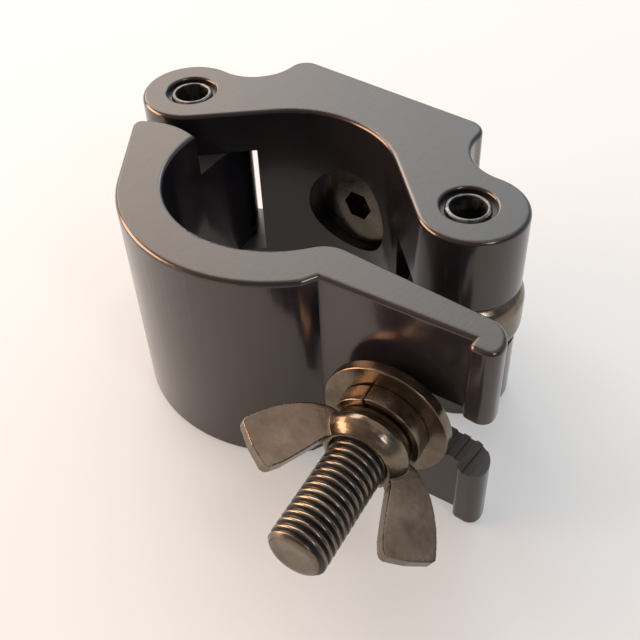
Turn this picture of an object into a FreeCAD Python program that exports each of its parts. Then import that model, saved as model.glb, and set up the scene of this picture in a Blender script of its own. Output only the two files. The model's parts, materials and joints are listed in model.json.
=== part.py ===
"""Half-coupler pipe clamp for a 51 mm tube: nine parts, modelled closed on the tube.

The origin is on the axis of the clamped tube, halfway along the clamp. Z runs along
the tube, X from the hinge pin to the eye-bolt pin and Y towards the mounting pad.
"""

import FreeCAD, Part
import math
import os

import Sketcher

DIMENSIONS = {
    # clamp as a whole
    "tube_rad": 25.5,
    "clamp_width": 52.4,
    "pin_x": 40.0,
    "pin_y": 14.2,
    # saddle
    "lobe_rad": 12.0,
    "pad_y": 42.0,
    "pad_half": 27.5,
    "pad_corner": 4.5,
    "valley_rad": 11.0,
    "knuckle_slot": 30.9,
    "knuckle_reach": 14.8,
    "eye_slot": 15.4,
    "eye_reach": 16.2,
    "edge_round": 1.1,
    # pins
    "pin_rad": 5.0,
    "pin_bore_rad": 3.95,
    "pin_chamfer": 0.4,
    "pin_setback": 0.6,
    "pin_recess": 1.7,
    "pin_recess_rad": 6.0,
    "recess_round": 0.7,
    "eye_offset": 1.1,
    "seat_gap": 0.02,
    "running_gap": 0.05,
    # flap
    "flap_rad": 35.7,
    "knuckle_rad": 13.3,
    "knuckle_back": 12.2,
    "knuckle_width": 30.4,
    "flap_tip_y": 0.2,
    "flap_end_y": 3.2,
    "flap_end_rad": 18.0,
    "flap_corner": 2.2,
    "throat_rad": 8.0,
    "arm_inner_y": 11.7,
    "arm_end_x": 65.7,
    "arm_nose_rad": 6.0,
    "lip_y": 20.4,
    "lip_rad": 2.6,
    "lip_width": 5.7,
    "heel_rad": 1.3,
    "arm_face_y": 18.18,
    "arm_face_tilt": 5.8,
    "step_x": 27.3,
    "step_y": 24.5,
    "fork_slot": 16.3,
    "fork_drop": 1.15,
    "fork_end_x": 34.0,
    "tooth_setback": 2.6,
    "tooth_depth": 0.5,
    "tooth_width": 1.5,
    "tooth_pitch": 3.1,
    # eye bolt
    "bolt_tilt": 8.4,
    "bolt_rad": 6.0,
    "bolt_length": 75.3,
    "bolt_chamfer": 1.0,
    "eye_rad": 13.0,
    "eye_width": 14.9,
    "eye_round": 4.5,
    # washers and wing nut, measured along the bolt from its pin
    "hole_gap": 0.25,
    "washer_at": 37.3,
    "washer_thick": 2.5,
    "washer_rad": 13.7,
    "spring_rad": 9.7,
    "spring_thick": 4.2,
    "spring_free": 4.5,
    "spring_turns": 0.996,
    "nut_at": 44.35,
    "nut_height": 7.0,
    "nut_base_rad": 9.2,
    "nut_mouth_rad": 7.2,
    "wing_thick": 2.8,
    "wing_root_x": 7.0,
    "wing_low_x": 10.0,
    "wing_tip_x": 22.9,
    "wing_tip_rise": 15.7,
    "wing_top_x": 13.2,
    "wing_top_rise": 21.6,
    "wing_belly_rad": 19.0,
    "wing_round": 1.5,
    "wing_roll": 24.5,
    # mounting screw
    "screw_rad": 6.0,
    "screw_shank_rad": 5.7,
    "screw_relief": 0.5,
    "screw_head_rad": 10.6,
    "screw_recess_rad": 11.5,
    "screw_face_y": 28.0,
    "screw_length": 25.0,
    "socket_flats": 7.0,
    "socket_depth": 4.5,
}
D = DIMENSIONS
WHOLE_TURN = 360.0
THROUGH = 200.0

doc = FreeCAD.newDocument("pipe_clamp")
sheet = doc.addObject("Spreadsheet::Sheet", "Dims")
for row, (alias, value) in enumerate(DIMENSIONS.items(), start=1):
    sheet.set(f"A{row}", alias)
    sheet.set(f"B{row}", str(value))
    sheet.setAlias(f"B{row}", alias)
doc.recompute()


def polar(centre, radius, degrees):
    """Point at an angle on a circle."""
    turn = math.radians(degrees)
    return (centre[0] + radius * math.cos(turn), centre[1] + radius * math.sin(turn))


def bearing(start, end):
    """Angle in degrees of the direction from start to end."""
    return math.degrees(math.atan2(end[1] - start[1], end[0] - start[0]))


def new_body(label):
    """Empty body that becomes one named part."""
    body = doc.addObject("PartDesign::Body", label)
    body.Label = label
    return body


def sketch_on(body, name, role, lift=None):
    """Sketch on one of the body's own origin planes, lifted along its normal if asked."""
    sketch = body.newObject("Sketcher::SketchObject", name)
    plane = next(f for f in body.Origin.OriginFeatures if f.Role == role)
    sketch.AttachmentSupport = [(plane, "")]
    sketch.MapMode = "FlatFace"
    if lift:
        sketch.setExpression("AttachmentOffset.Base.z", lift)
    return sketch


def size(sketch, kind, *terms):
    """Dimension bound to the sheet: the last two terms are its value and expression."""
    *refs, value, expression = terms
    index = sketch.addConstraint(Sketcher.Constraint(kind, *refs, value))
    sketch.setExpression(f"Constraints[{index}]", expression)


def place_point(sketch, geo, pos, x, y):
    """Fix a point: x and y are each a (number, expression) pair, both in the sheet."""
    for axis, (value, expression) in (("X", x), ("Y", y)):
        if value > 0:
            size(sketch, f"Distance{axis}", -1, 1, geo, pos, value, expression)
        elif value < 0:
            size(sketch, f"Distance{axis}", geo, pos, -1, 1, -value, expression)
        else:
            on_axis = -2 if axis == "X" else -1
            sketch.addConstraint(Sketcher.Constraint("PointOnObject", geo, pos, on_axis))


class Outline:
    """Closed loop of lines and arcs, each joined to the one before it."""

    def __init__(self, sketch):
        self.sketch = sketch
        self.pieces = []

    def add(self, shape, start_pos, end_pos, smooth):
        index = self.sketch.addGeometry(shape, False)
        if self.pieces:
            self.join(self.pieces[-1], (index, start_pos), smooth)
        self.pieces.append((index, start_pos, end_pos))
        return index

    def join(self, before, after, smooth):
        kind = "Tangent" if smooth else "Coincident"
        self.sketch.addConstraint(
            Sketcher.Constraint(kind, before[0], before[2], after[0], after[1])
        )

    def line(self, start, end, smooth=False):
        a = FreeCAD.Vector(start[0], start[1], 0)
        b = FreeCAD.Vector(end[0], end[1], 0)
        return self.add(Part.LineSegment(a, b), 1, 2, smooth)

    def arc(self, centre, radius, start_deg, end_deg, smooth=False):
        circle = Part.Circle(
            FreeCAD.Vector(centre[0], centre[1], 0), FreeCAD.Vector(0, 0, 1), radius
        )
        if end_deg > start_deg:
            ends = (math.radians(start_deg), math.radians(end_deg))
            return self.add(Part.ArcOfCircle(circle, *ends), 1, 2, smooth)
        ends = (math.radians(end_deg), math.radians(start_deg))
        return self.add(Part.ArcOfCircle(circle, *ends), 2, 1, smooth)

    def close(self, smooth=False):
        first = self.pieces[0]
        self.join(self.pieces[-1], (first[0], first[1]), smooth)


def guide_circle(sketch, centre, radius):
    """Construction circle that the outline touches."""
    shape = Part.Circle(
        FreeCAD.Vector(centre[0], centre[1], 0), FreeCAD.Vector(0, 0, 1), radius
    )
    return sketch.addGeometry(shape, True)


def circle_at(sketch, radius, expression, x=(0, "0"), y=(0, "0")):
    """Full circle at a fixed place."""
    signed_x = x[0]
    shape = Part.Circle(
        FreeCAD.Vector(signed_x, y[0], 0), FreeCAD.Vector(0, 0, 1), radius
    )
    index = sketch.addGeometry(shape, False)
    place_point(sketch, index, 3, x, y)
    size(sketch, "Radius", index, radius, expression)
    return index


def polygon(sketch, corners):
    """Closed polygon; each corner is an (x, y) pair of (number, expression) pairs."""
    points = [(x[0], y[0]) for x, y in corners]
    loop = Outline(sketch)
    for start, end in zip(points, points[1:] + points[:1]):
        loop.line(start, end)
    loop.close()
    for index, (x, y) in enumerate(corners):
        place_point(sketch, index, 1, x, y)


def pad(body, sketch, name, length, expression):
    """Material added equally on both sides of the sketch."""
    feature = body.newObject("PartDesign::Pad", name)
    feature.Profile = sketch
    feature.SideType = "Symmetric"
    feature.Length = length
    feature.setExpression("Length", expression)
    return feature


def cut(body, sketch, name, length, expression, both_sides=True, reverse=False):
    """Material removed along the sketch normal."""
    feature = body.newObject("PartDesign::Pocket", name)
    feature.Profile = sketch
    feature.SideType = "Symmetric" if both_sides else "One side"
    feature.Length = length
    feature.Reversed = reverse
    feature.setExpression("Length", expression)
    return feature


def revolve(body, sketch, name, kind="Revolution"):
    """Whole turn about the sketch's vertical axis."""
    feature = body.newObject(f"PartDesign::{kind}", name)
    feature.Profile = sketch
    feature.ReferenceAxis = (sketch, ["V_Axis"])
    feature.Angle = WHOLE_TURN
    return feature


def round_edges(body, name, chosen, radius, expression):
    """Fillet on the edges of the body's present shape that the test picks out."""
    doc.recompute()
    tip = body.Tip
    edges = [f"Edge{i}" for i, e in enumerate(tip.Shape.Edges, start=1) if chosen(e)]
    feature = body.newObject("PartDesign::Fillet", name)
    feature.Base = (tip, edges)
    feature.Radius = radius
    feature.setExpression("Radius", expression)
    return feature


def on_end_face(edge):
    """True for an edge lying in one of the clamp's two end planes."""
    half = D["clamp_width"] / 2
    return all(abs(abs(v.Z) - half) < 1e-4 for v in edge.Vertexes) and abs(
        abs(edge.CenterOfMass.z) - half
    ) < 1e-4


def crossing_tangent(near_rad, far_centre, far_rad, side):
    """Ends of the line that crosses between the tube circle and another circle.

    It touches the tube circle first. Side is +1 or -1 for the two such lines.
    """
    reach = math.hypot(*far_centre)
    swing = math.degrees(math.acos((near_rad + far_rad) / reach))
    angle = bearing((0, 0), far_centre) + side * swing
    start = polar((0, 0), near_rad, angle)
    end = polar(far_centre, far_rad, angle + 180)
    return start, end, angle


# ---------------------------------------------------------------- saddle


def build_saddle():
    body = new_body("saddle")
    hinge = (-D["pin_x"], D["pin_y"])
    eye = (D["pin_x"], D["pin_y"])
    start, end, angle = crossing_tangent(D["tube_rad"], eye, D["lobe_rad"], 1)
    valley_x = D["pad_half"] + D["valley_rad"]
    drop = valley_x - D["pin_x"]
    valley_y = D["pin_y"] + math.sqrt((D["lobe_rad"] + D["valley_rad"]) ** 2 - drop**2)
    valley = (valley_x, valley_y)
    to_lobe = bearing(valley, eye)
    corner = D["pad_corner"]
    corner_y = D["pad_y"] - corner
    half = D["pad_half"]

    sketch = sketch_on(body, "saddle_outline", "XY_Plane")
    loop = Outline(sketch)
    face = loop.line((corner - half, D["pad_y"]), (half - corner, D["pad_y"]))
    corner_r = loop.arc((half - corner, corner_y), corner, 90, 0, True)
    side_r = loop.line((half, corner_y), (half, valley_y), True)
    valley_r = loop.arc(valley, D["valley_rad"], 180, to_lobe + 360, True)
    lobe_r = loop.arc(eye, D["lobe_rad"], to_lobe + 180, angle - 180, True)
    loop.line(end, start, True)
    bore = loop.arc((0, 0), D["tube_rad"], angle, 180 - angle, True)
    loop.line((-start[0], start[1]), (-end[0], end[1]), True)
    lobe_l = loop.arc(hinge, D["lobe_rad"], 360 - angle, -to_lobe, True)
    valley_l = loop.arc((-valley_x, valley_y), D["valley_rad"], 180 - to_lobe - 360, 0, True)
    side_l = loop.line((-half, valley_y), (-half, corner_y), True)
    corner_l = loop.arc((corner - half, corner_y), corner, 180, 90, True)
    loop.close(True)

    sketch.addConstraint(Sketcher.Constraint("Horizontal", face))
    sketch.addConstraint(Sketcher.Constraint("Vertical", side_r))
    sketch.addConstraint(Sketcher.Constraint("Vertical", side_l))
    size(sketch, "DistanceY", -1, 1, face, 1, D["pad_y"], "Dims.pad_y")
    size(sketch, "DistanceX", -1, 1, side_r, 1, half, "Dims.pad_half")
    size(sketch, "DistanceX", side_l, 1, -1, 1, half, "Dims.pad_half")
    for index in (corner_r, corner_l):
        size(sketch, "Radius", index, corner, "Dims.pad_corner")
    for index in (valley_r, valley_l):
        size(sketch, "Radius", index, D["valley_rad"], "Dims.valley_rad")
    for index in (lobe_r, lobe_l):
        size(sketch, "Radius", index, D["lobe_rad"], "Dims.lobe_rad")
    size(sketch, "Radius", bore, D["tube_rad"], "Dims.tube_rad")
    place_point(sketch, bore, 3, (0, "0"), (0, "0"))
    pin_y = (D["pin_y"], "Dims.pin_y")
    place_point(sketch, lobe_r, 3, (D["pin_x"], "Dims.pin_x"), pin_y)
    place_point(sketch, lobe_l, 3, (-D["pin_x"], "Dims.pin_x"), pin_y)
    pad(body, sketch, "saddle_block", D["clamp_width"], "Dims.clamp_width")

    round_edges(body, "saddle_edges", on_end_face, D["edge_round"], "Dims.edge_round")

    cut_ear_slot(body, "knuckle", -1, angle)
    cut_ear_slot(body, "eye", 1, angle)
    bore_ears(body)
    bore_screw_hole(body)
    return body


def cut_ear_slot(body, name, side, angle):
    """Slot between a pair of ears, ending in a wall square to the bore's flank."""
    reach = D[f"{name}_reach"]
    width = D[f"{name}_slot"]
    wall = math.radians(angle)
    inward = (-side * math.sin(wall), math.cos(wall))
    along = (side * math.cos(wall), math.sin(wall))
    pin = (side * D["pin_x"], D["pin_y"])
    span = 2 * D["lobe_rad"]
    near = (pin[0] + reach * inward[0], pin[1] + reach * inward[1])
    far = (pin[0] - span * inward[0], pin[1] - span * inward[1])

    def shifted(point, amount):
        return (point[0] + amount * along[0], point[1] + amount * along[1])

    corners = [
        shifted(near, span),
        shifted(near, -span),
        shifted(far, -span),
        shifted(far, span),
    ]
    sketch = sketch_on(body, f"{name}_slot_outline", "XY_Plane")
    loop = Outline(sketch)
    for index, corner in enumerate(corners):
        loop.line(corner, corners[(index + 1) % 4])
    loop.close()
    centre = sketch.addGeometry(Part.Point(FreeCAD.Vector(pin[0], pin[1], 0)), True)
    place_point(
        sketch, centre, 1, (pin[0], "Dims.pin_x"), (D["pin_y"], "Dims.pin_y")
    )
    for index in (0, 1, 2):
        sketch.addConstraint(Sketcher.Constraint("Perpendicular", index, index + 1))
    size(sketch, "Distance", centre, 1, 0, reach, f"Dims.{name}_reach")
    size(sketch, "Distance", centre, 1, 2, span, "2 * Dims.lobe_rad")
    size(sketch, "Distance", centre, 1, 1, span, "2 * Dims.lobe_rad")
    size(sketch, "Distance", centre, 1, 3, span, "2 * Dims.lobe_rad")
    cut(body, sketch, f"{name}_slot", width, f"Dims.{name}_slot")


def bore_ears(body):
    """Pin holes through the ears, with a soft-edged recess round each pin end."""
    holes = sketch_on(body, "pin_holes", "XY_Plane")
    seats = sketch_on(body, "pin_recesses", "XY_Plane", "Dims.clamp_width / 2")
    hole_rad = D["pin_rad"] + D["seat_gap"]
    pin_y = (D["pin_y"], "Dims.pin_y")
    hinge_x = (-D["pin_x"], "Dims.pin_x")
    eye_x = (D["pin_x"] - D["eye_offset"], "Dims.pin_x - Dims.eye_offset")
    for pin_x in (hinge_x, eye_x):
        circle_at(holes, hole_rad, "Dims.pin_rad + Dims.seat_gap", pin_x, pin_y)
        circle_at(seats, D["pin_recess_rad"], "Dims.pin_recess_rad", pin_x, pin_y)
    cut(body, holes, "pin_bores", THROUGH, "2 * Dims.clamp_width")
    top = cut(body, seats, "recess_top", D["pin_recess"], "Dims.pin_recess", False)
    mirror = body.newObject("PartDesign::Mirrored", "recess_bottom")
    plane = next(f for f in body.Origin.OriginFeatures if f.Role == "XY_Plane")
    mirror.Originals = [top]
    mirror.MirrorPlane = (plane, [""])
    body.Tip = mirror

    def recess_rim(edge):
        round_edge = hasattr(edge.Curve, "Radius")
        return on_end_face(edge) and round_edge and edge.Curve.Radius == D["pin_recess_rad"]

    round_edges(body, "recess_rims", recess_rim, D["recess_round"], "Dims.recess_round")


def bore_screw_hole(body):
    """Countersunk hole for the mounting screw, sunk below the bore surface."""
    face_y = (D["screw_face_y"], "Dims.screw_face_y")
    gap = 2 * D["seat_gap"]
    hole = D["screw_rad"] + D["running_gap"]
    cone = D["screw_head_rad"] + gap
    sketch = sketch_on(body, "screw_hole_profile", "XY_Plane")
    hole_x = (hole, "Dims.screw_rad + Dims.running_gap")
    cone_x = (cone, "Dims.screw_head_rad + 2 * Dims.seat_gap")
    recess_x = (D["screw_recess_rad"], "Dims.screw_recess_rad")
    cone_end = "Dims.screw_face_y + Dims.screw_head_rad + 2 * Dims.seat_gap"
    cone_y = (
        D["screw_face_y"] + cone - hole,
        f"{cone_end} - Dims.screw_rad - Dims.running_gap",
    )
    far_y = (D["pad_y"] + D["pad_corner"], "Dims.pad_y + Dims.pad_corner")
    polygon(
        sketch,
        [
            ((0, "0"), (0, "0")),
            (recess_x, (0, "0")),
            (recess_x, face_y),
            (cone_x, face_y),
            (hole_x, cone_y),
            (hole_x, far_y),
            ((0, "0"), far_y),
        ],
    )
    revolve(body, sketch, "screw_hole", "Groove")


# ---------------------------------------------------------------- flap


def build_flap():
    body = new_body("flap")
    flap_block(body)
    corner = (outer_flat(-D["flap_end_y"])[1], -D["flap_end_y"])

    def outer_corner(edge):
        middle = edge.CenterOfMass
        return math.hypot(middle.x - corner[0], middle.y - corner[1]) < 1e-3

    round_edges(body, "flap_outer_corner", outer_corner, D["flap_corner"], "Dims.flap_corner")
    round_edges(body, "flap_edges", on_end_face, D["edge_round"], "Dims.edge_round")
    flap_knuckle(body)
    flap_fork(body)
    flap_teeth(body)
    return body


def flap_block(body):
    """Full-width band round the tube, with the arm that carries the fork."""
    tube = D["tube_rad"]
    outer = D["flap_rad"]
    hinge = (-D["pin_x"], D["pin_y"])
    throat = D["throat_rad"]
    throat_y = -D["arm_inner_y"] - throat
    throat_x = math.sqrt((tube + throat) ** 2 - throat_y**2)
    throat_deg = bearing((0, 0), (throat_x, throat_y))
    nose = D["arm_nose_rad"]
    nose_c = (D["arm_end_x"] - nose, -D["arm_inner_y"] - nose)
    lip, heel_r = D["lip_rad"], D["heel_rad"]
    lip_c = (D["arm_end_x"] - lip, lip - D["lip_y"])
    heel_x = D["arm_end_x"] - D["lip_width"]
    heel_c = (heel_x + heel_r, heel_r - D["lip_y"])
    face_end = (heel_x, -D["arm_face_y"])
    slope = math.tan(math.radians(D["arm_face_tilt"]))
    face_start_y = face_end[1] - slope * (face_end[0] - D["step_x"])
    face_start = (D["step_x"], face_start_y)
    step_deg = -math.degrees(math.asin(D["step_y"] / outer))
    flat_deg, flat_end_x = outer_flat(-D["flap_end_y"])
    tip_deg = 180 - math.degrees(math.asin(D["flap_tip_y"] / tube))
    tip = polar((0, 0), tube, tip_deg)
    flat_end = (flat_end_x, -D["flap_end_y"])
    chord = (tip[0] - flat_end[0], tip[1] - flat_end[1])
    length = math.hypot(*chord)
    sag = math.sqrt(D["flap_end_rad"] ** 2 - (length / 2) ** 2)
    end_c = (
        (tip[0] + flat_end[0]) / 2 + sag * chord[1] / length,
        (tip[1] + flat_end[1]) / 2 - sag * chord[0] / length,
    )

    sketch = sketch_on(body, "flap_outline", "XY_Plane")
    loop = Outline(sketch)
    bore = loop.arc((0, 0), tube, tip_deg, 360 + throat_deg)
    throat_i = loop.arc((throat_x, throat_y), throat, throat_deg + 180, 90, True)
    inner = loop.line((throat_x, -D["arm_inner_y"]), (nose_c[0], -D["arm_inner_y"]), True)
    nose_i = loop.arc(nose_c, nose, 90, 0, True)
    tail = loop.line((D["arm_end_x"], nose_c[1]), (D["arm_end_x"], lip_c[1]), True)
    lip_i = loop.arc(lip_c, lip, 0, -90, True)
    loop.line((lip_c[0], -D["lip_y"]), (heel_c[0], -D["lip_y"]), True)
    heel_i = loop.arc(heel_c, heel_r, -90, -180, True)
    heel = loop.line((heel_x, heel_c[1]), face_end, True)
    face = loop.line(face_end, face_start)
    loop.line(face_start, polar((0, 0), outer, step_deg))
    back = loop.arc((0, 0), outer, step_deg, flat_deg - 360)
    flat = loop.line(polar((0, 0), outer, flat_deg), flat_end, True)
    end_i = loop.arc(end_c, D["flap_end_rad"], bearing(end_c, flat_end), bearing(end_c, tip))
    loop.close()
    guide = guide_circle(sketch, hinge, D["knuckle_back"])

    sketch.addConstraint(Sketcher.Constraint("Horizontal", inner))
    sketch.addConstraint(Sketcher.Constraint("Vertical", tail))
    sketch.addConstraint(Sketcher.Constraint("Vertical", heel))
    sketch.addConstraint(Sketcher.Constraint("Tangent", flat, guide))
    place_point(sketch, bore, 3, (0, "0"), (0, "0"))
    place_point(sketch, back, 3, (0, "0"), (0, "0"))
    hinge_x = (-D["pin_x"], "Dims.pin_x")
    place_point(sketch, guide, 3, hinge_x, (D["pin_y"], "Dims.pin_y"))
    size(sketch, "Radius", guide, D["knuckle_back"], "Dims.knuckle_back")
    size(sketch, "Radius", bore, tube, "Dims.tube_rad")
    size(sketch, "Radius", back, outer, "Dims.flap_rad")
    size(sketch, "Radius", throat_i, throat, "Dims.throat_rad")
    size(sketch, "Radius", nose_i, nose, "Dims.arm_nose_rad")
    size(sketch, "Radius", lip_i, lip, "Dims.lip_rad")
    size(sketch, "Radius", heel_i, heel_r, "Dims.heel_rad")
    size(sketch, "DistanceX", heel, 1, tail, 1, D["lip_width"], "Dims.lip_width")
    size(sketch, "Radius", end_i, D["flap_end_rad"], "Dims.flap_end_rad")
    size(sketch, "DistanceY", -1, 1, bore, 1, D["flap_tip_y"], "Dims.flap_tip_y")
    size(sketch, "DistanceY", inner, 1, -1, 1, D["arm_inner_y"], "Dims.arm_inner_y")
    size(sketch, "DistanceX", -1, 1, tail, 1, D["arm_end_x"], "Dims.arm_end_x")
    size(sketch, "DistanceY", lip_i, 3, -1, 1, -lip_c[1], "Dims.lip_y - Dims.lip_rad")
    size(sketch, "DistanceY", heel_i, 3, -1, 1, -heel_c[1], "Dims.lip_y - Dims.heel_rad")
    size(sketch, "DistanceY", face, 1, -1, 1, D["arm_face_y"], "Dims.arm_face_y")
    size(sketch, "DistanceX", -1, 1, face, 2, D["step_x"], "Dims.step_x")
    rise = "tan(Dims.arm_face_tilt) * (Dims.arm_end_x - Dims.lip_width - Dims.step_x)"
    size(sketch, "DistanceY", face, 2, face, 1, face_end[1] - face_start_y, rise)
    size(sketch, "DistanceY", back, 2, -1, 1, D["step_y"], "Dims.step_y")
    size(sketch, "DistanceY", flat, 2, -1, 1, D["flap_end_y"], "Dims.flap_end_y")
    pad(body, sketch, "flap_band", D["clamp_width"], "Dims.clamp_width")


def outer_flat(y):
    """Angle of the flat that leads from the band to the knuckle, and its x at height y."""
    hinge = (-D["pin_x"], D["pin_y"])
    reach = math.hypot(*hinge)
    lean = math.degrees(math.acos((D["flap_rad"] - D["knuckle_back"]) / reach))
    angle = bearing((0, 0), hinge) + lean
    turn = math.radians(angle)
    return angle, (D["flap_rad"] - y * math.sin(turn)) / math.cos(turn)


def flap_knuckle(body):
    """Tongue and barrel that turn on the hinge pin between the saddle's ears."""
    hinge = (-D["pin_x"], D["pin_y"])
    knuckle = D["knuckle_rad"]
    flat_deg, flat_x = outer_flat(-D["arm_inner_y"])
    low = (flat_x, -D["arm_inner_y"])
    start, end, angle = crossing_tangent(D["tube_rad"], hinge, knuckle, 1)

    sketch = sketch_on(body, "knuckle_outline", "XY_Plane")
    loop = Outline(sketch)
    back = D["knuckle_back"]
    meet_deg = flat_deg - math.degrees(math.acos(back / knuckle))
    barrel = loop.arc(hinge, knuckle, angle - 180, meet_deg)
    flat = loop.line(polar(hinge, knuckle, meet_deg), low)
    loop.line(low, start)
    flank = loop.line(start, end)
    loop.close(True)
    outer = guide_circle(sketch, (0, 0), D["flap_rad"])
    tube = guide_circle(sketch, (0, 0), D["tube_rad"])
    behind = guide_circle(sketch, hinge, back)

    for index in (outer, tube):
        place_point(sketch, index, 3, (0, "0"), (0, "0"))
    size(sketch, "Radius", outer, D["flap_rad"], "Dims.flap_rad")
    size(sketch, "Radius", tube, D["tube_rad"], "Dims.tube_rad")
    hinge_x = (-D["pin_x"], "Dims.pin_x")
    place_point(sketch, barrel, 3, hinge_x, (D["pin_y"], "Dims.pin_y"))
    place_point(sketch, behind, 3, hinge_x, (D["pin_y"], "Dims.pin_y"))
    size(sketch, "Radius", barrel, knuckle, "Dims.knuckle_rad")
    size(sketch, "Radius", behind, back, "Dims.knuckle_back")
    sketch.addConstraint(Sketcher.Constraint("Tangent", flat, outer))
    sketch.addConstraint(Sketcher.Constraint("Tangent", flat, behind))
    sketch.addConstraint(Sketcher.Constraint("Tangent", flank, 1, tube))
    size(sketch, "DistanceY", flat, 2, -1, 1, D["arm_inner_y"], "Dims.arm_inner_y")
    pad(body, sketch, "knuckle", D["knuckle_width"], "Dims.knuckle_width")

    hole = sketch_on(body, "hinge_hole", "XY_Plane")
    hole_rad = D["pin_rad"] + D["running_gap"]
    pin_y = (D["pin_y"], "Dims.pin_y")
    circle_at(hole, hole_rad, "Dims.pin_rad + Dims.running_gap", hinge_x, pin_y)
    cut(body, hole, "hinge_bore", THROUGH, "2 * Dims.clamp_width")


def flap_fork(body):
    """Open-ended slot that the eye bolt swings into, centred a little below the bolt."""
    rad, drop = D["fork_slot"] / 2, D["fork_drop"]
    centre_x = D["fork_end_x"] + rad
    open_x = D["arm_end_x"] + rad
    sketch = sketch_on(body, "fork_outline", "XZ_Plane")
    loop = Outline(sketch)
    top = loop.line((open_x, rad - drop), (centre_x, rad - drop))
    end = loop.arc((centre_x, -drop), rad, 90, 270, True)
    low = loop.line((centre_x, -rad - drop), (open_x, -rad - drop), True)
    side = loop.line((open_x, -rad - drop), (open_x, rad - drop))
    loop.close()
    sketch.addConstraint(Sketcher.Constraint("Horizontal", top))
    sketch.addConstraint(Sketcher.Constraint("Horizontal", low))
    sketch.addConstraint(Sketcher.Constraint("Vertical", side))
    size(sketch, "Radius", end, rad, "Dims.fork_slot / 2")
    centre = "Dims.fork_end_x + Dims.fork_slot / 2"
    place_point(sketch, end, 3, (centre_x, centre), (-drop, "Dims.fork_drop"))
    size(sketch, "DistanceX", -1, 1, side, 1, open_x, "Dims.arm_end_x + Dims.fork_slot / 2")
    cut(body, sketch, "fork_slot", D["arm_end_x"], "Dims.arm_end_x")


def flap_teeth(body):
    """Three shallow milled steps across the lower arm, inside the fork."""
    edge = -D["fork_slot"] / 2 - D["fork_drop"]
    edge_text = "Dims.fork_slot / 2 + Dims.fork_drop"
    last = D["arm_end_x"] - D["tooth_setback"]
    for step in range(3):
        right = last - step * D["tooth_pitch"]
        left = right - D["tooth_width"]
        right_text = f"Dims.arm_end_x - Dims.tooth_setback - {step} * Dims.tooth_pitch"
        left_text = f"{right_text} - Dims.tooth_width"
        floor = (edge - D["tooth_depth"], f"{edge_text} + Dims.tooth_depth")
        roof = (edge + D["tooth_depth"], f"{edge_text} - Dims.tooth_depth")
        sketch = sketch_on(body, f"tooth_outline_{step}", "XZ_Plane")
        polygon(
            sketch,
            [
                ((left, left_text), floor),
                ((right, right_text), floor),
                ((right, right_text), roof),
                ((left, left_text), roof),
            ],
        )
        cut(body, sketch, f"tooth_{step}", D["arm_end_x"], "Dims.arm_end_x")


# ---------------------------------------------------------------- pins


def build_pin(label, pin_x, pin_x_text):
    """Tubular pin, chamfered at both ends."""
    body = new_body(label)
    half = D["clamp_width"] / 2 - D["pin_setback"]
    half_text = "Dims.clamp_width / 2 - Dims.pin_setback"
    trim = D["pin_chamfer"]
    outer, inner = D["pin_rad"], D["pin_bore_rad"]
    outer_x = (outer, "Dims.pin_rad")
    trim_x = (outer - trim, "Dims.pin_rad - Dims.pin_chamfer")
    inner_x = (inner, "Dims.pin_bore_rad")
    shoulder = half - trim
    shoulder_text = f"{half_text} - Dims.pin_chamfer"
    sketch = sketch_on(body, f"{label}_profile", "XZ_Plane")
    polygon(
        sketch,
        [
            (inner_x, (-half, half_text)),
            (trim_x, (-half, half_text)),
            (outer_x, (-shoulder, shoulder_text)),
            (outer_x, (shoulder, shoulder_text)),
            (trim_x, (half, half_text)),
            (inner_x, (half, half_text)),
        ],
    )
    revolve(body, sketch, f"{label}_tube")
    body.Placement = FreeCAD.Placement(
        FreeCAD.Vector(pin_x, D["pin_y"], 0), FreeCAD.Rotation()
    )
    body.setExpression("Placement.Base.x", pin_x_text)
    body.setExpression("Placement.Base.y", "Dims.pin_y")
    return body


# ---------------------------------------------------------------- bolt, washers, nut


def put_on_bolt(body, roll=0.0):
    """Turn a part so its own Y runs outward along the bolt, starting at the eye pin."""
    turn = FreeCAD.Rotation(FreeCAD.Vector(0, 0, 1), 180 + D["bolt_tilt"])
    spin = FreeCAD.Rotation(FreeCAD.Vector(0, 1, 0), roll)
    base = FreeCAD.Vector(D["pin_x"], D["pin_y"], 0)
    body.Placement = FreeCAD.Placement(base, turn.multiply(spin))
    body.setExpression("Placement.Base.x", "Dims.pin_x")
    body.setExpression("Placement.Base.y", "Dims.pin_y")
    return body


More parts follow.
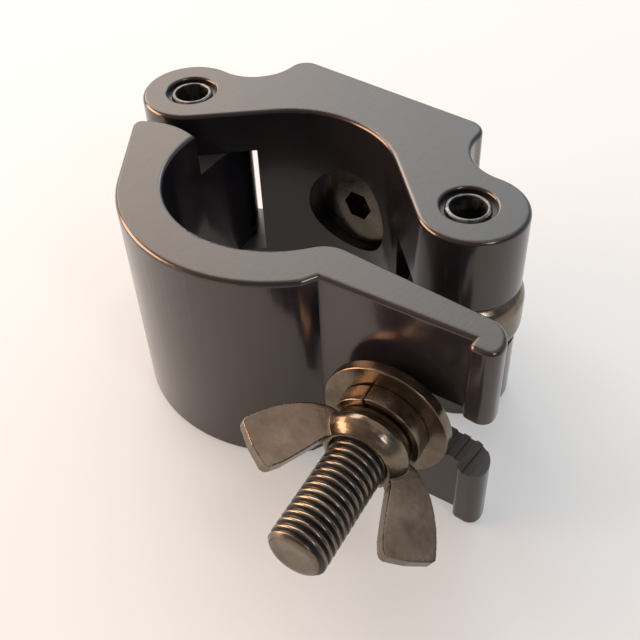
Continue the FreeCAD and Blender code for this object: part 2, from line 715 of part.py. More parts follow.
def build_eye_bolt():
    """Forged eye with rounded rims on a threaded shank; its hole sits off the shank's line."""
    body = new_body("eye_bolt")
    eye = sketch_on(body, "eye_outline", "XY_Plane")
    circle_at(eye, D["eye_rad"], "Dims.eye_rad")
    pad(body, eye, "eye", D["eye_width"], "Dims.eye_width")

    def eye_rim(edge):
        return abs(abs(edge.CenterOfMass.z) - D["eye_width"] / 2) < 1e-4

    round_edges(body, "eye_rims", eye_rim, D["eye_round"], "Dims.eye_round")

    rad, trim, length = D["bolt_rad"], D["bolt_chamfer"], D["bolt_length"]
    end_y = (length, "Dims.bolt_length")
    shank = sketch_on(body, "shank_profile", "XY_Plane")
    polygon(
        shank,
        [
            ((0, "0"), (rad, "Dims.bolt_rad")),
            ((rad, "Dims.bolt_rad"), (rad, "Dims.bolt_rad")),
            (
                (rad, "Dims.bolt_rad"),
                (length - trim, "Dims.bolt_length - Dims.bolt_chamfer"),
            ),
            ((rad - trim, "Dims.bolt_rad - Dims.bolt_chamfer"), end_y),
            ((0, "0"), end_y),
        ],
    )
    revolve(body, shank, "shank")

    tilt = math.radians(D["bolt_tilt"])
    hole = sketch_on(body, "eye_hole", "XY_Plane")
    circle_at(
        hole,
        D["pin_rad"] + D["running_gap"],
        "Dims.pin_rad + Dims.running_gap",
        (D["eye_offset"] * math.cos(tilt), "Dims.eye_offset * cos(Dims.bolt_tilt)"),
        (-D["eye_offset"] * math.sin(tilt), "Dims.eye_offset * sin(Dims.bolt_tilt)"),
    )
    cut(body, hole, "eye_bore", THROUGH, "2 * Dims.clamp_width")
    return put_on_bolt(body)


def build_flat_washer():
    body = new_body("flat_washer")
    near, far = D["washer_at"], D["washer_at"] + D["washer_thick"]
    near_y = (near, "Dims.washer_at")
    far_y = (far, "Dims.washer_at + Dims.washer_thick")
    hole_x = (D["bolt_rad"] + D["hole_gap"], "Dims.bolt_rad + Dims.hole_gap")
    rim_x = (D["washer_rad"], "Dims.washer_rad")
    sketch = sketch_on(body, "flat_washer_profile", "XY_Plane")
    polygon(sketch, [(hole_x, near_y), (rim_x, near_y), (rim_x, far_y), (hole_x, far_y)])
    revolve(body, sketch, "flat_washer_ring")
    return put_on_bolt(body)


def build_spring_washer():
    """Split ring at its free height: one helical coil with a small gap."""
    body = new_body("spring_washer")
    near = D["washer_at"] + D["washer_thick"]
    near_text = "Dims.washer_at + Dims.washer_thick"
    near_y = (near, near_text)
    far_y = (near + D["spring_thick"], f"{near_text} + Dims.spring_thick")
    hole_x = (D["bolt_rad"] + D["hole_gap"], "Dims.bolt_rad + Dims.hole_gap")
    rim_x = (D["spring_rad"], "Dims.spring_rad")
    sketch = sketch_on(body, "spring_profile", "XY_Plane")
    polygon(sketch, [(hole_x, near_y), (rim_x, near_y), (rim_x, far_y), (hole_x, far_y)])
    coil = body.newObject("PartDesign::AdditiveHelix", "spring_coil")
    coil.Profile = sketch
    coil.ReferenceAxis = (sketch, ["V_Axis"])
    coil.Mode = "height-turns-angle"
    coil.Turns = D["spring_turns"]
    coil.setExpression("Turns", "Dims.spring_turns")
    coil.Height = D["spring_free"] - D["spring_thick"]
    coil.setExpression("Height", "Dims.spring_free - Dims.spring_thick")
    coil.Angle = 0
    coil.LeftHanded = True
    return put_on_bolt(body, -76)


def build_wing_nut():
    body = new_body("wing_nut")
    base, height = D["nut_at"], D["nut_height"]
    bore_x = (D["bolt_rad"] + D["running_gap"], "Dims.bolt_rad + Dims.running_gap")
    base_y = (base, "Dims.nut_at")
    top_y = (base + height, "Dims.nut_at + Dims.nut_height")
    waist_y = (base + height / 3, "Dims.nut_at + Dims.nut_height / 3")
    foot_x = (D["nut_base_rad"], "Dims.nut_base_rad")
    mouth_x = (D["nut_mouth_rad"], "Dims.nut_mouth_rad")
    hub = sketch_on(body, "hub_profile", "XY_Plane")
    polygon(
        hub,
        [
            (bore_x, base_y),
            (foot_x, base_y),
            (foot_x, waist_y),
            (mouth_x, top_y),
            (bore_x, top_y),
        ],
    )
    revolve(body, hub, "hub")

    root_x = (D["wing_root_x"], "Dims.wing_root_x")
    low_x = (D["wing_low_x"], "Dims.wing_low_x")
    low_y = (base + height / 5, "Dims.nut_at + Dims.nut_height / 5")
    tip_x = (D["wing_tip_x"], "Dims.wing_tip_x")
    tip_y = (base + D["wing_tip_rise"], "Dims.nut_at + Dims.wing_tip_rise")
    crown_x = (D["wing_top_x"], "Dims.wing_top_x")
    crown_y = (base + D["wing_top_rise"], "Dims.nut_at + Dims.wing_top_rise")
    start, end = (low_x[0], low_y[0]), (tip_x[0], tip_y[0])
    chord = (end[0] - start[0], end[1] - start[1])
    length = math.hypot(*chord)
    belly = D["wing_belly_rad"]
    sag = math.sqrt(belly**2 - (length / 2) ** 2)
    centre = (
        (start[0] + end[0]) / 2 - sag * chord[1] / length,
        (start[1] + end[1]) / 2 + sag * chord[0] / length,
    )
    wing = sketch_on(body, "wing_outline", "XY_Plane")
    loop = Outline(wing)
    foot = loop.line((root_x[0], low_y[0]), start)
    belly_i = loop.arc(centre, belly, bearing(centre, start), bearing(centre, end))
    crown = loop.line(end, (crown_x[0], crown_y[0]))
    spine = loop.line((crown_x[0], crown_y[0]), (root_x[0], top_y[0]))
    loop.line((root_x[0], top_y[0]), (root_x[0], low_y[0]))
    loop.close()
    size(wing, "Radius", belly_i, belly, "Dims.wing_belly_rad")
    place_point(wing, foot, 1, root_x, low_y)
    place_point(wing, foot, 2, low_x, low_y)
    place_point(wing, crown, 1, tip_x, tip_y)
    place_point(wing, crown, 2, crown_x, crown_y)
    place_point(wing, spine, 2, root_x, top_y)
    first = pad(body, wing, "wing", D["wing_thick"], "Dims.wing_thick")
    mirror = body.newObject("PartDesign::Mirrored", "second_wing")
    plane = next(f for f in body.Origin.OriginFeatures if f.Role == "YZ_Plane")
    mirror.Originals = [first]
    mirror.MirrorPlane = (plane, [""])
    body.Tip = mirror

    def wing_corner(edge):
        middle = edge.CenterOfMass
        across = abs(edge.Length - D["wing_thick"]) < 1e-4
        return across and abs(middle.z) < 1e-4 and abs(middle.x) > D["wing_low_x"]

    round_edges(body, "wing_corners", wing_corner, D["wing_round"], "Dims.wing_round")
    return put_on_bolt(body, -D["wing_roll"])


# ---------------------------------------------------------------- mounting screw


def build_mounting_screw():
    body = new_body("mounting_screw")
    rad, shank, head = D["screw_rad"], D["screw_shank_rad"], D["screw_head_rad"]
    length, trim = D["screw_length"], D["bolt_chamfer"]
    thread_y = (
        D["pad_y"] - D["screw_face_y"] + D["screw_relief"],
        "Dims.pad_y - Dims.screw_face_y + Dims.screw_relief",
    )
    end_y = (length, "Dims.screw_length")
    thread_x = (rad, "Dims.screw_rad")
    shank_x = (shank, "Dims.screw_shank_rad")
    sketch = sketch_on(body, "screw_profile", "XY_Plane")
    polygon(
        sketch,
        [
            ((0, "0"), (0, "0")),
            ((head, "Dims.screw_head_rad"), (0, "0")),
            (shank_x, (head - shank, "Dims.screw_head_rad - Dims.screw_shank_rad")),
            (shank_x, thread_y),
            (thread_x, thread_y),
            (thread_x, (length - trim, "Dims.screw_length - Dims.bolt_chamfer")),
            ((rad - trim, "Dims.screw_rad - Dims.bolt_chamfer"), end_y),
            ((0, "0"), end_y),
        ],
    )
    revolve(body, sketch, "screw_blank")

    socket = sketch_on(body, "socket_outline", "XZ_Plane")
    flats = D["socket_flats"]
    corner = flats / math.sqrt(3)
    corners = [polar((0, 0), corner, 60 * step) for step in range(6)]
    loop = Outline(socket)
    for start, end in zip(corners, corners[1:] + corners[:1]):
        loop.line(start, end)
    loop.close()
    ring = guide_circle(socket, (0, 0), corner)
    place_point(socket, ring, 3, (0, "0"), (0, "0"))
    size(socket, "Radius", ring, corner, "Dims.socket_flats / sqrt(3)")
    for index in range(6):
        socket.addConstraint(Sketcher.Constraint("PointOnObject", index, 1, ring))
    for index in range(5):
        socket.addConstraint(Sketcher.Constraint("Equal", index, index + 1))
    socket.addConstraint(Sketcher.Constraint("PointOnObject", 0, 1, -1))
    depth = D["socket_depth"]
    cut(body, socket, "socket", depth, "Dims.socket_depth", False)
    body.Placement = FreeCAD.Placement(
        FreeCAD.Vector(0, D["screw_face_y"], 0), FreeCAD.Rotation()
    )
    body.setExpression("Placement.Base.y", "Dims.screw_face_y")
    return body


parts = [
    build_saddle(),
    build_flap(),
    build_pin("hinge_pin", -D["pin_x"], "-Dims.pin_x"),
    build_pin("eye_pin", D["pin_x"] - D["eye_offset"], "Dims.pin_x - Dims.eye_offset"),
    build_eye_bolt(),
    build_flat_washer(),
    build_spring_washer(),
    build_wing_nut(),
    build_mounting_screw(),
]
doc.recompute()

for item in doc.Objects:
    if {"Invalid", "Error"} & set(item.State):
        raise RuntimeError(f"{item.Name} did not build: {item.State}")

os.makedirs("parts", exist_ok=True)
for part in parts:
    shape = part.Shape
    if shape.isNull() or not shape.isValid() or len(shape.Solids) != 1:
        raise RuntimeError(f"{part.Label} is not one valid solid")
    shape.exportStep(f"parts/{part.Label}.step")
    print(part.Label, round(shape.Volume, 1), shape.BoundBox)
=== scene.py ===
import json
import math

import bmesh
import bpy
from mathutils import Matrix, Vector


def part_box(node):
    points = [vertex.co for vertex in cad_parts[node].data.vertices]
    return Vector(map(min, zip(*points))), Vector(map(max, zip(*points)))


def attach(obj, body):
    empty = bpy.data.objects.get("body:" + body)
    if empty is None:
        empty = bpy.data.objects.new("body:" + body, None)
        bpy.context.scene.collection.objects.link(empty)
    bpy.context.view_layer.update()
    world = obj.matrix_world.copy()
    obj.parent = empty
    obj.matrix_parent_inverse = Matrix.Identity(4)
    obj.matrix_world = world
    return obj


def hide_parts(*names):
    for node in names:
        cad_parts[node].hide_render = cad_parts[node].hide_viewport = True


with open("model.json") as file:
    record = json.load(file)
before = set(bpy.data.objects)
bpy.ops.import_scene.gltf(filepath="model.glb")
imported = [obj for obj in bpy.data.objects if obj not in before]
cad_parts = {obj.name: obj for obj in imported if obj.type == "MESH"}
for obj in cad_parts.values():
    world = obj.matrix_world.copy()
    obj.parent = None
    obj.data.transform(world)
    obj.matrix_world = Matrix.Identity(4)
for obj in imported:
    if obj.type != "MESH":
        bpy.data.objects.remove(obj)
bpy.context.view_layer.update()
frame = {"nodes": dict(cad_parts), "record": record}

MM = 0.001

# Where each piece's CAD node, joint and body come from
record = frame["record"]
joints = {joint["name"]: joint for joint in record["behaviour"]["joints"]}
body_of = {}
for body, members in record["behaviour"]["bodies"].items():
    for member in members:
        body_of[member] = body

# M12 thread: its pitch, crests and roots, and how it fades out at its two ends
PITCH = 1.75 * MM
CREST_RAD = 6.0 * MM
ROOT_RAD = 5.05 * MM
RUN_OUT = 1.2 * PITCH
LEAD_IN = 1.1 * MM
END_RAD = ROOT_RAD - 0.15 * MM
PLAIN_SHANK = 28 * MM

# Thread form over one pitch, as (share of the pitch, share of the thread's depth)
THREAD_FORM = (
    (0.00, 0.00),
    (0.10, 0.00),
    (0.30, 0.85),
    (0.38, 1.00),
    (0.66, 1.00),
    (0.74, 0.85),
    (0.94, 0.00),
    (1.00, 0.00),
)
THREAD_ROWS = (0.0, 0.10, 0.20, 0.30, 0.38, 0.52, 0.66, 0.74, 0.84, 0.94)
GROOVE_ROWS = (0, 1, 2, 7, 8, 9)
AROUND_THREAD = 60

# Turned end of a threaded rod, as (share of its radius, rise in mm)
ROD_END = ((0.93, 0.10), (0.80, 0.16), (0.78, 0.14), (0.62, 0.20), (0.60, 0.18), (0.3, 0.24))
ROD_END_RISE = 0.25 * MM

# Wing nut: its roll about the bolt and the thickness of its wings
NUT_ROLL = 24.5
WING_ROOT = 8 * MM
WING_REACH = 21 * MM
WING_ROOT_HALF = 1.75 * MM
WING_TIP_HALF = 1.30 * MM
AROUND_HUB = 72

# Camera, and the direction the cut ends are brushed in, in degrees
VIEW_AZIMUTH = 40.12
VIEW_ELEVATION = 44.23
VIEW_ROLL = -2.9
BRUSH_ANGLE = 85.0


# ---------------------------------------------------------------- shader helpers


class Nodes:
    """Small helper that adds nodes to one node tree and links them."""

    def __init__(self, tree):
        self.tree = tree

    def link(self, value, socket):
        """Feed a socket from another socket or from a plain value."""
        if isinstance(value, bpy.types.NodeSocket):
            self.tree.links.new(value, socket)
        else:
            socket.default_value = value

    def node(self, kind, **inputs):
        node = self.tree.nodes.new(kind)
        for key, value in inputs.items():
            self.link(value, node.inputs[key.replace("_", " ")])
        return node

    def math(self, kind, a, b=0.0):
        node = self.tree.nodes.new("ShaderNodeMath")
        node.operation = kind
        self.link(a, node.inputs[0])
        self.link(b, node.inputs[1])
        return node.outputs[0]

    def remap(self, value, low, high, to_low=0.0, to_high=1.0):
        """Stretch a value from one range to another, held inside the second."""
        limits = {"From_Min": low, "From_Max": high, "To_Min": to_low, "To_Max": to_high}
        return self.node("ShaderNodeMapRange", Value=value, **limits).outputs[0]

    def mix(self, factor, a, b):
        """Blend two colours."""
        node = self.tree.nodes.new("ShaderNodeMix")
        node.data_type = "RGBA"
        self.link(factor, node.inputs[0])
        self.link(a, node.inputs[6])
        self.link(b, node.inputs[7])
        return node.outputs[2]

    def turned(self, vector, degrees):
        """Coordinates turned about Z."""
        node = self.node("ShaderNodeMapping", Vector=vector)
        node.inputs["Rotation"].default_value = (0, 0, math.radians(degrees))
        return node.outputs[0]


class Shader(Nodes):
    """One material: a Principled shader fed by procedural textures."""

    def __init__(self, name):
        self.material = bpy.data.materials.new(name)
        self.material.use_nodes = True
        super().__init__(self.material.node_tree)
        self.tree.nodes.clear()
        self.bsdf = self.tree.nodes.new("ShaderNodeBsdfPrincipled")
        self.node("ShaderNodeOutputMaterial", Surface=self.bsdf.outputs[0])
        self.coords = self.tree.nodes.new("ShaderNodeTexCoord").outputs["Object"]

    def scaled(self, scale, turn=0.0):
        """Object coordinates turned about Z by some degrees, then scaled per axis."""
        node = self.node("ShaderNodeMapping", Vector=self.turned(self.coords, turn))
        node.inputs["Scale"].default_value = scale
        return node.outputs[0]

    def noise(self, scale, detail=4.0, rough=0.55, vector=None):
        node = self.node(
            "ShaderNodeTexNoise",
            Vector=vector or self.coords,
            Scale=scale,
            Detail=detail,
            Roughness=rough,
        )
        return node.outputs["Fac"]

    def bump(self, height, distance, strength=1.0, below=None):
        """Normal from a height, on top of another bump when one is given."""
        node = self.node(
            "ShaderNodeBump", Height=height, Distance=distance, Strength=strength
        )
        if below is not None:
            self.link(below, node.inputs["Normal"])
        return node.outputs[0]

    def finish(self, **inputs):
        for key, value in inputs.items():
            self.link(value, self.bsdf.inputs[key.replace("_", " ")])
        return self.material


def grey(value, warm=0.0):
    """Grey with some red added and as much blue taken away."""
    return (value * (1 + warm), value, value * (1 - warm), 1.0)


def end_face_mask(s):
    """1 on faces square to the tube axis, 0 elsewhere."""
    geometry = s.tree.nodes.new("ShaderNodeNewGeometry")
    split = s.node("ShaderNodeSeparateXYZ", Vector=geometry.outputs["Normal"])
    return s.remap(s.math("ABSOLUTE", split.outputs["Z"]), 0.86, 0.99)


# ---------------------------------------------------------------- materials


def coat_sides(s):
    """Colour of the drawn faces: blotched near-black with fine dust."""
    dark = (0.0085, 0.0075, 0.0100, 1)
    pale = (0.0155, 0.0140, 0.0175, 1)
    blotch = s.remap(s.noise(38.0, 5.0, 0.6), 0.35, 0.7)
    dust = s.remap(s.noise(2300.0, 2.0, 0.5), 0.72, 0.78)
    return s.mix(s.math("MULTIPLY", dust, 0.25), s.mix(blotch, dark, pale), grey(0.20, 0.05))


def coat_material():
    """Satin black coating over extruded aluminium, brushed on the cut ends."""
    s = Shader("satin_black_coat")
    ends = end_face_mask(s)
    brush = s.noise(1.0, 6.0, 0.75, s.scaled((240, 2600, 240), -BRUSH_ANGLE))
    draw = s.noise(1.0, 4.0, 0.6, s.scaled((1500, 1500, 60)))
    top = s.mix(s.remap(brush, 0.38, 0.62), grey(0.016, 0.05), grey(0.044, 0.05))
    rough_side = s.remap(s.noise(60.0), 0.3, 0.7, 0.17, 0.25)
    rough_top = s.remap(brush, 0.3, 0.7, 0.42, 0.56)
    peel = s.bump(s.noise(900.0, 3.0), 0.00003, 0.35)
    lines = s.math("ADD", s.math("MULTIPLY", brush, ends), s.math("MULTIPLY", draw, 0.2))
    return s.finish(
        Base_Color=s.mix(ends, coat_sides(s), top),
        Roughness=s.mix(ends, rough_side, rough_top),
        Normal=s.bump(lines, 0.00006, 0.6, peel),
        IOR=1.55,
        Specular_IOR_Level=s.remap(ends, 0.0, 1.0, 0.66, 0.46),
        Specular_Tint=s.mix(ends, (1.0, 0.84, 0.75, 1), (1.0, 0.97, 0.95, 1)),
        Coat_Weight=s.remap(ends, 0.0, 1.0, 0.22, 0.0),
        Coat_Roughness=0.10,
    )


def black_steel_material():
    """Bronze-black plated steel with a mottled shine."""
    s = Shader("black_steel")
    mottle = s.noise(190.0, 6.0, 0.65)
    speck = s.noise(1400.0, 4.0, 0.6)
    return s.finish(
        Base_Color=s.mix(s.remap(mottle, 0.35, 0.7), grey(0.095, 0.26), grey(0.185, 0.27)),
        Metallic=0.95,
        Roughness=s.remap(mottle, 0.3, 0.7, 0.16, 0.32),
        Normal=s.bump(speck, 0.00003, 0.5, s.bump(mottle, 0.00016, 0.3)),
        Coat_Weight=0.1,
        Coat_Roughness=0.08,
    )


def pin_material():
    """Blackened steel tube, brighter where its rim has worn."""
    s = Shader("pin_steel")
    wear = s.noise(420.0, 5.0, 0.6)
    return s.finish(
        Base_Color=s.mix(s.remap(wear, 0.45, 0.7), grey(0.05, 0.04), grey(0.20, 0.05)),
        Metallic=0.8,
        Roughness=s.remap(wear, 0.3, 0.7, 0.3, 0.45),
        Normal=s.bump(wear, 0.00005, 0.5),
    )


def groove_shade_material():
    """Painted shade: near-black colour laid in the thread's grooves, where shade falls."""
    s = Shader("thread_groove_painted_shade")
    shade_mottle = s.noise(700.0, 5.0, 0.6)
    return s.finish(
        Base_Color=s.mix(s.remap(shade_mottle, 0.4, 0.7), grey(0.003, 0.05), grey(0.012, 0.10)),
        Metallic=0.0,
        Roughness=s.remap(shade_mottle, 0.3, 0.7, 0.35, 0.55),
        Normal=s.bump(shade_mottle, 0.00003, 0.4),
    )


MATERIALS = {
    "body_coat": coat_material(),
    "black_steel": black_steel_material(),
    "pin_steel": pin_material(),
}
# Painted shade for the thread's grooves, used as the rod's second material.
PAINTED_GROOVE_SHADE = groove_shade_material()


# ---------------------------------------------------------------- mesh helpers


def dress(obj, slot, node):
    """Give a piece its material, slot and body; node names the CAD part it belongs to."""
    obj.data.materials.append(MATERIALS[slot])
    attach(obj, body_of[node])


def new_object(name, bm):
    """Object from a bmesh, smooth shaded."""
    mesh = bpy.data.meshes.new(name)
    bm.to_mesh(mesh)
    bm.free()
    for face in mesh.polygons:
        face.use_smooth = True
    obj = bpy.data.objects.new(name, mesh)
    bpy.context.scene.collection.objects.link(obj)
    return obj


def soften(obj, width):
    """Round the sharp edges and even out the shading."""
    bevel = obj.modifiers.new("soft_edges", "BEVEL")
    bevel.width = width
    bevel.segments = 3
    bevel.limit_method = "ANGLE"
    bevel.angle_limit = math.radians(28)
    normals = obj.modifiers.new("even_shading", "WEIGHTED_NORMAL")
    normals.keep_sharp = True
    return obj


def cad_copy(node, name, cut_at=None, cut_along=None):
    """Cleaned copy of a CAD node, optionally cut off beyond a plane."""
    bm = bmesh.new()
    bm.from_mesh(frame["nodes"][node].data)
    bmesh.ops.remove_doubles(bm, verts=bm.verts, dist=0.001 * MM)
    if cut_at is not None:
        bmesh.ops.bisect_plane(
            bm,
            geom=bm.verts[:] + bm.edges[:] + bm.faces[:],
            plane_co=cut_at,
            plane_no=cut_along,
            clear_outer=True,
        )
    bmesh.ops.dissolve_limit(
        bm, angle_limit=math.radians(0.3), verts=bm.verts, edges=bm.edges
    )
    obj = new_object(name, bm)
    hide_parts(node)
    return obj


def axis_frame(origin, along):
    """Frame whose Y runs along an axis in the XY plane and whose Z stays upright."""
    along = Vector(along).normalized()
    up = Vector((0, 0, 1))
    side = along.cross(up)
    basis = Matrix((side, along, up)).transposed().to_4x4()
    return Matrix.Translation(Vector(origin)) @ basis


def span_along(node, frame_at):
    """First and last height of a CAD node along a frame's Y."""
    inverse = frame_at.inverted()
    heights = [(inverse @ v.co).y for v in frame["nodes"][node].data.vertices]
    return min(heights), max(heights)


def turned_vert(bm, frame_at, radius, height, turn):
    """Vertex at a turn, in radians, round a frame's Y axis."""
    spot = Vector((radius * math.cos(turn), height, radius * math.sin(turn)))
    return bm.verts.new(frame_at @ spot)


def ring(bm, frame_at, radius, height, around):
    """Circle of vertices at a height along the frame's Y."""
    turns = [2 * math.pi * i / around for i in range(around)]
    return [turned_vert(bm, frame_at, radius, height, turn) for turn in turns]


def skin(bm, first, second):
    """Band of faces between two closed loops of vertices."""
    count = len(first)
    for i in range(count):
        j = (i + 1) % count
        bm.faces.new((first[i], first[j], second[j], second[i]))


def lathe(bm, frame_at, profile, around):
    """Turned ring: the profile is a closed list of (radius, height) pairs."""
    rings = [ring(bm, frame_at, radius, height, around) for radius, height in profile]
    for first, second in zip(rings, rings[1:]):
        skin(bm, first, second)
    skin(bm, rings[-1], rings[0])


# ---------------------------------------------------------------- screw thread


def thread_radius(offset):
    """Radius of the thread form at a share of one pitch."""
    for (start, low), (end, high) in zip(THREAD_FORM, THREAD_FORM[1:]):
        if offset <= end:
            depth = low + (high - low) * (offset - start) / (end - start)
            return ROOT_RAD + (CREST_RAD - ROOT_RAD) * depth
    return ROOT_RAD


def rod_radius(offset, height, start, end):
    """Thread radius, run out to a plain shank at the start and tapered at the end."""
    fade = min((height - start) / RUN_OUT, 1.0)
    radius = CREST_RAD - (CREST_RAD - thread_radius(offset)) * fade
    past = max(0.0, height - (end - LEAD_IN)) / LEAD_IN
    taper = CREST_RAD - (CREST_RAD - END_RAD) * past**1.6
    return min(radius, taper)


def thread_grid(bm, frame_at, start, end):
    """Rows of vertices that climb by one pitch in each turn round the rod."""
    turns = int((end - start) / PITCH) + 3
    rows = []
    for turn_count in range(turns):
        for offset in THREAD_ROWS:
            row = []
            for i in range(AROUND_THREAD):
                climb = turn_count + offset + i / AROUND_THREAD
                height = min(max(start - PITCH + PITCH * climb, start), end)
                radius = rod_radius(offset, height, start, end)
                turn = 2 * math.pi * i / AROUND_THREAD
                row.append(turned_vert(bm, frame_at, radius, height, turn))
            rows.append(row)
    return rows


def thread_faces(bm, rows):
    """Join the rows; the last column of a row meets the first one a full turn later."""
    per_turn = len(THREAD_ROWS)

    def vert(row, i):
        return rows[row][i] if i < AROUND_THREAD else rows[row + per_turn][0]

    for row in range(len(rows) - per_turn - 1):
        in_groove = row % per_turn in GROOVE_ROWS
        for i in range(AROUND_THREAD):
            corners = (vert(row, i), vert(row + 1, i), vert(row + 1, i + 1), vert(row, i + 1))
            face = bm.faces.new(corners)
            # Groove faces take the rod's second material, which is painted shade.
            face.material_index = 1 if in_groove else 0


def rod_end(bm, frame_at, end):
    """Slightly domed end face with faint turning rings."""
    rim = ring(bm, frame_at, END_RAD, end, AROUND_THREAD)
    for share, rise in ROD_END:
        inner = ring(bm, frame_at, END_RAD * share, end + rise * MM, AROUND_THREAD)
        skin(bm, rim, inner)
        rim = inner
    centre = bm.verts.new(frame_at @ Vector((0, end + ROD_END_RISE, 0)))
    for i in range(AROUND_THREAD):
        bm.faces.new((rim[i], rim[(i + 1) % AROUND_THREAD], centre))


def threaded_rod(name, frame_at, start, end):
    """Helical thread between two heights along a frame's Y."""
    bm = bmesh.new()
    thread_faces(bm, thread_grid(bm, frame_at, start, end))
    rod_end(bm, frame_at, end)
    bmesh.ops.remove_doubles(bm, verts=bm.verts, dist=0.002 * MM)
    bmesh.ops.recalc_face_normals(bm, faces=bm.faces)
    return new_object(name, bm)


def threaded_part(node, frame_at, start):
    """CAD node with its plain end replaced by a real thread from a given height."""
    end = span_along(node, frame_at)[1]
    cut_at = frame_at @ Vector((0, start, 0))
    along = frame_at.to_3x3() @ Vector((0, 1, 0))
    blank = soften(cad_copy(node, f"{node}_blank", cut_at, along), 0.5 * MM)
    dress(blank, "black_steel", node)
    rod = threaded_rod(f"{node}_thread", frame_at, start, end - ROD_END_RISE)
    dress(rod, "black_steel", node)
    # Second material: painted shade in the thread's grooves.
    rod.data.materials.append(PAINTED_GROOVE_SHADE)


# ---------------------------------------------------------------- pieces


BOLT = axis_frame(joints["nut_spin"]["pos_m"], joints["nut_spin"]["axis"])
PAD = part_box("saddle")[1].y
SCREW_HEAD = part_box("mounting_screw")[0].y
SCREW = axis_frame((0, SCREW_HEAD, 0), (0, 1, 0))
SCREW_SHANK = PAD - SCREW_HEAD + 0.6 * MM

for node in ("saddle", "flap"):
    dress(soften(cad_copy(node, f"{node}_casting"), 0.25 * MM), "body_coat", node)
for node in ("hinge_pin", "eye_pin"):
    dress(soften(cad_copy(node, f"{node}_tube"), 0.3 * MM), "pin_steel", node)
threaded_part("eye_bolt", BOLT, PLAIN_SHANK)
threaded_part("mounting_screw", SCREW, SCREW_SHANK)
for node in ("flat_washer", "spring_washer"):
    dress(soften(cad_copy(node, f"{node}_ring"), 0.3 * MM), "black_steel", node)


def hub_profile():
    """Half section of the wing nut's hub as (radius, height above its base)."""
    base = [(5.7, 0.9), (6.5, 0.0), (8.1, 0.0), (8.3, 0.4), (8.4, 1.3), (8.9, 2.1), (9.25, 3.0)]
    crown = [(9.1, 4.0), (8.6, 5.2), (7.9, 6.2), (7.2, 6.9), (6.7, 7.1), (6.2, 6.7), (5.7, 6.1)]
    return [(radius * MM, height * MM) for radius, height in base + crown]


def wing_outline():
    """Outline of one wing as (distance from the axis, height above the nut's base)."""
    belly = [(6.5, 1.3), (9.6, 1.2), (11.2, 1.7), (13.4, 2.9), (15.6, 4.6), (17.6, 6.8)]
    belly += [(19.4, 9.3), (20.8, 11.8), (21.9, 14.2)]
    crown = [(22.1, 14.9), (21.6, 15.7), (17.9, 18.4), (14.2, 20.2), (13.3, 20.2), (12.6, 19.6)]
    inner = [(11.3, 17.4), (10.0, 14.1), (8.9, 11.2), (8.2, 9.2), (7.6, 7.6), (6.5, 6.4)]
    return [(distance * MM, height * MM) for distance, height in belly + crown + inner]


def wing_face(bm, at, side, level):
    """One broad face of a wing, closer to the other one towards the wing's tip."""
    verts = []
    for distance, height in wing_outline():
        share = min(max((distance - WING_ROOT) / (WING_REACH - WING_ROOT), 0), 1)
        half = WING_ROOT_HALF + (WING_TIP_HALF - WING_ROOT_HALF) * share
        verts.append(bm.verts.new(at @ Vector((side * distance, height, level * half))))
    bm.faces.new(verts)
    return verts


def forged(obj):
    """Melt overlapping shapes into one skin with soft fillets between them."""
    remesh = obj.modifiers.new("one_forging", "REMESH")
    remesh.mode = "VOXEL"
    remesh.voxel_size = 0.2 * MM
    remesh.use_smooth_shade = True
    smooth = obj.modifiers.new("soft_fillets", "SMOOTH")
    smooth.factor = 0.5
    smooth.iterations = 3
    return obj


def wing_nut():
    """Turned hub with two wings, on the bolt."""
    base = span_along("wing_nut", BOLT)[0]
    rolled = BOLT @ Matrix.Rotation(math.radians(-NUT_ROLL), 4, "Y")
    at = rolled @ Matrix.Translation(Vector((0, base, 0)))
    bm = bmesh.new()
    lathe(bm, at, hub_profile(), AROUND_HUB)
    for side in (1, -1):
        skin(bm, wing_face(bm, at, side, 1), wing_face(bm, at, side, -1))
    bmesh.ops.recalc_face_normals(bm, faces=bm.faces)
    nut = forged(new_object("wing_nut_forging", bm))
    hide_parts("wing_nut")
    dress(nut, "black_steel", "wing_nut")


wing_nut()


# ---------------------------------------------------------------- floor, light, camera


def paper_material():
    """Pale paper that glows a little, as an overexposed studio floor does."""
    s = Shader("pale_paper")
    return s.finish(
        Base_Color=s.mix(s.noise(6.0, 3.0), (0.365, 0.375, 0.380, 1), (0.395, 0.405, 0.410, 1)),
        Roughness=0.9,
        Normal=s.bump(s.noise(500.0), 0.0001, 0.2),
        Emission_Color=(0.97, 0.97, 0.96, 1),
        Emission_Strength=0.33,
    )


def pale_floor():
    """Square sheet under the clamp's lowest point."""
    reach = 1.5
    corners = [(-reach, -reach, 0), (reach, -reach, 0), (reach, reach, 0), (-reach, reach, 0)]
    mesh = bpy.data.meshes.new("floor")
    mesh.from_pydata(corners, [], [(0, 1, 2, 3)])
    mesh.materials.append(paper_material())
    floor = bpy.data.objects.new("floor", mesh)
    bpy.context.scene.collection.objects.link(floor)
    floor.location.z = min(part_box(node)[0].z for node in frame["nodes"])


def softbox(name, at, size, watts, tint=(1, 1, 1), aim=(0, 0, 0)):
    """Rectangular area light turned towards a point."""
    light = bpy.data.lights.new(name, "AREA")
    light.shape = "RECTANGLE"
    light.size, light.size_y = size
    light.energy = watts
    light.color = tint
    lamp = bpy.data.objects.new(name, light)
    bpy.context.scene.collection.objects.link(lamp)
    lamp.location = at
    lamp.rotation_euler = (Vector(aim) - Vector(at)).to_track_quat("-Z", "Y").to_euler()


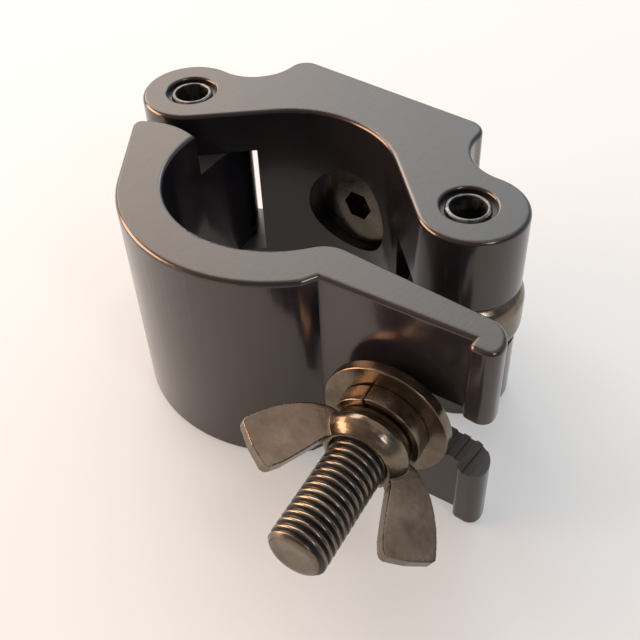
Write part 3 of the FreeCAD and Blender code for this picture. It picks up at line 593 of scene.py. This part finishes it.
def world_light():
    """Pale studio surround: warm on the left, cooler on the right, dim towards the camera."""
    warm = (1.0, 0.81, 0.68, 1)
    cool = (0.56, 0.63, 0.71, 1)
    world = bpy.data.worlds.new("studio")
    bpy.context.scene.world = world
    world.use_nodes = True
    s = Nodes(world.node_tree)
    background = s.tree.nodes["Background"]
    direction = s.tree.nodes.new("ShaderNodeTexCoord").outputs["Generated"]
    seen = s.node("ShaderNodeSeparateXYZ", Vector=s.turned(direction, -VIEW_AZIMUTH))
    rightness = s.remap(seen.outputs["X"], -0.45, 0.45)
    s.link(s.mix(rightness, warm, cool), background.inputs["Color"])
    s.link(s.remap(seen.outputs["Y"], -0.6, 0.4, 0.30, 0.75), background.inputs["Strength"])


def camera(target, distance, lens):
    """Camera aimed at a point; its azimuth runs from -Y towards +X."""
    az, el = math.radians(VIEW_AZIMUTH), math.radians(VIEW_ELEVATION)
    back = Vector((math.sin(az) * math.cos(el), -math.cos(az) * math.cos(el), math.sin(el)))
    right = Vector((math.cos(az), math.sin(az), 0))
    up = back.cross(right)
    roll = Matrix.Rotation(math.radians(VIEW_ROLL), 3, back)
    right, up = roll @ right, roll @ up
    data = bpy.data.cameras.new("camera")
    data.lens = lens
    data.sensor_width = 36
    data.clip_start = 0.005
    cam = bpy.data.objects.new("camera", data)
    bpy.context.scene.collection.objects.link(cam)
    basis = Matrix((right, up, back)).transposed().to_4x4()
    cam.matrix_world = Matrix.Translation(Vector(target) + back * distance) @ basis
    bpy.context.scene.camera = cam


pale_floor()
world_light()
softbox("sky_panel", (-0.95, 0.45, 0.80), (1.0, 1.0), 19, (1.0, 0.87, 0.76))
softbox("overhead", (0.35, 0.35, 1.15), (1.1, 1.1), 2.8, (1.0, 0.72, 0.62))
softbox("cool_back", (-0.40, 0.95, 0.75), (0.6, 0.6), 5.5, (0.74, 0.90, 1.0))
softbox("warm_left", (-0.75, -0.45, 0.22), (0.7, 0.5), 13, (1.0, 0.62, 0.42), aim=(0, 0, -0.01))
softbox("right_spot", (0.66, -0.20, 0.56), (0.16, 0.24), 1.3, aim=(0.03, -0.02, 0))
camera(target=(0.0117, -0.0029, -0.0092), distance=0.223, lens=53.28)
bpy.context.scene.view_settings.view_transform = "Standard"
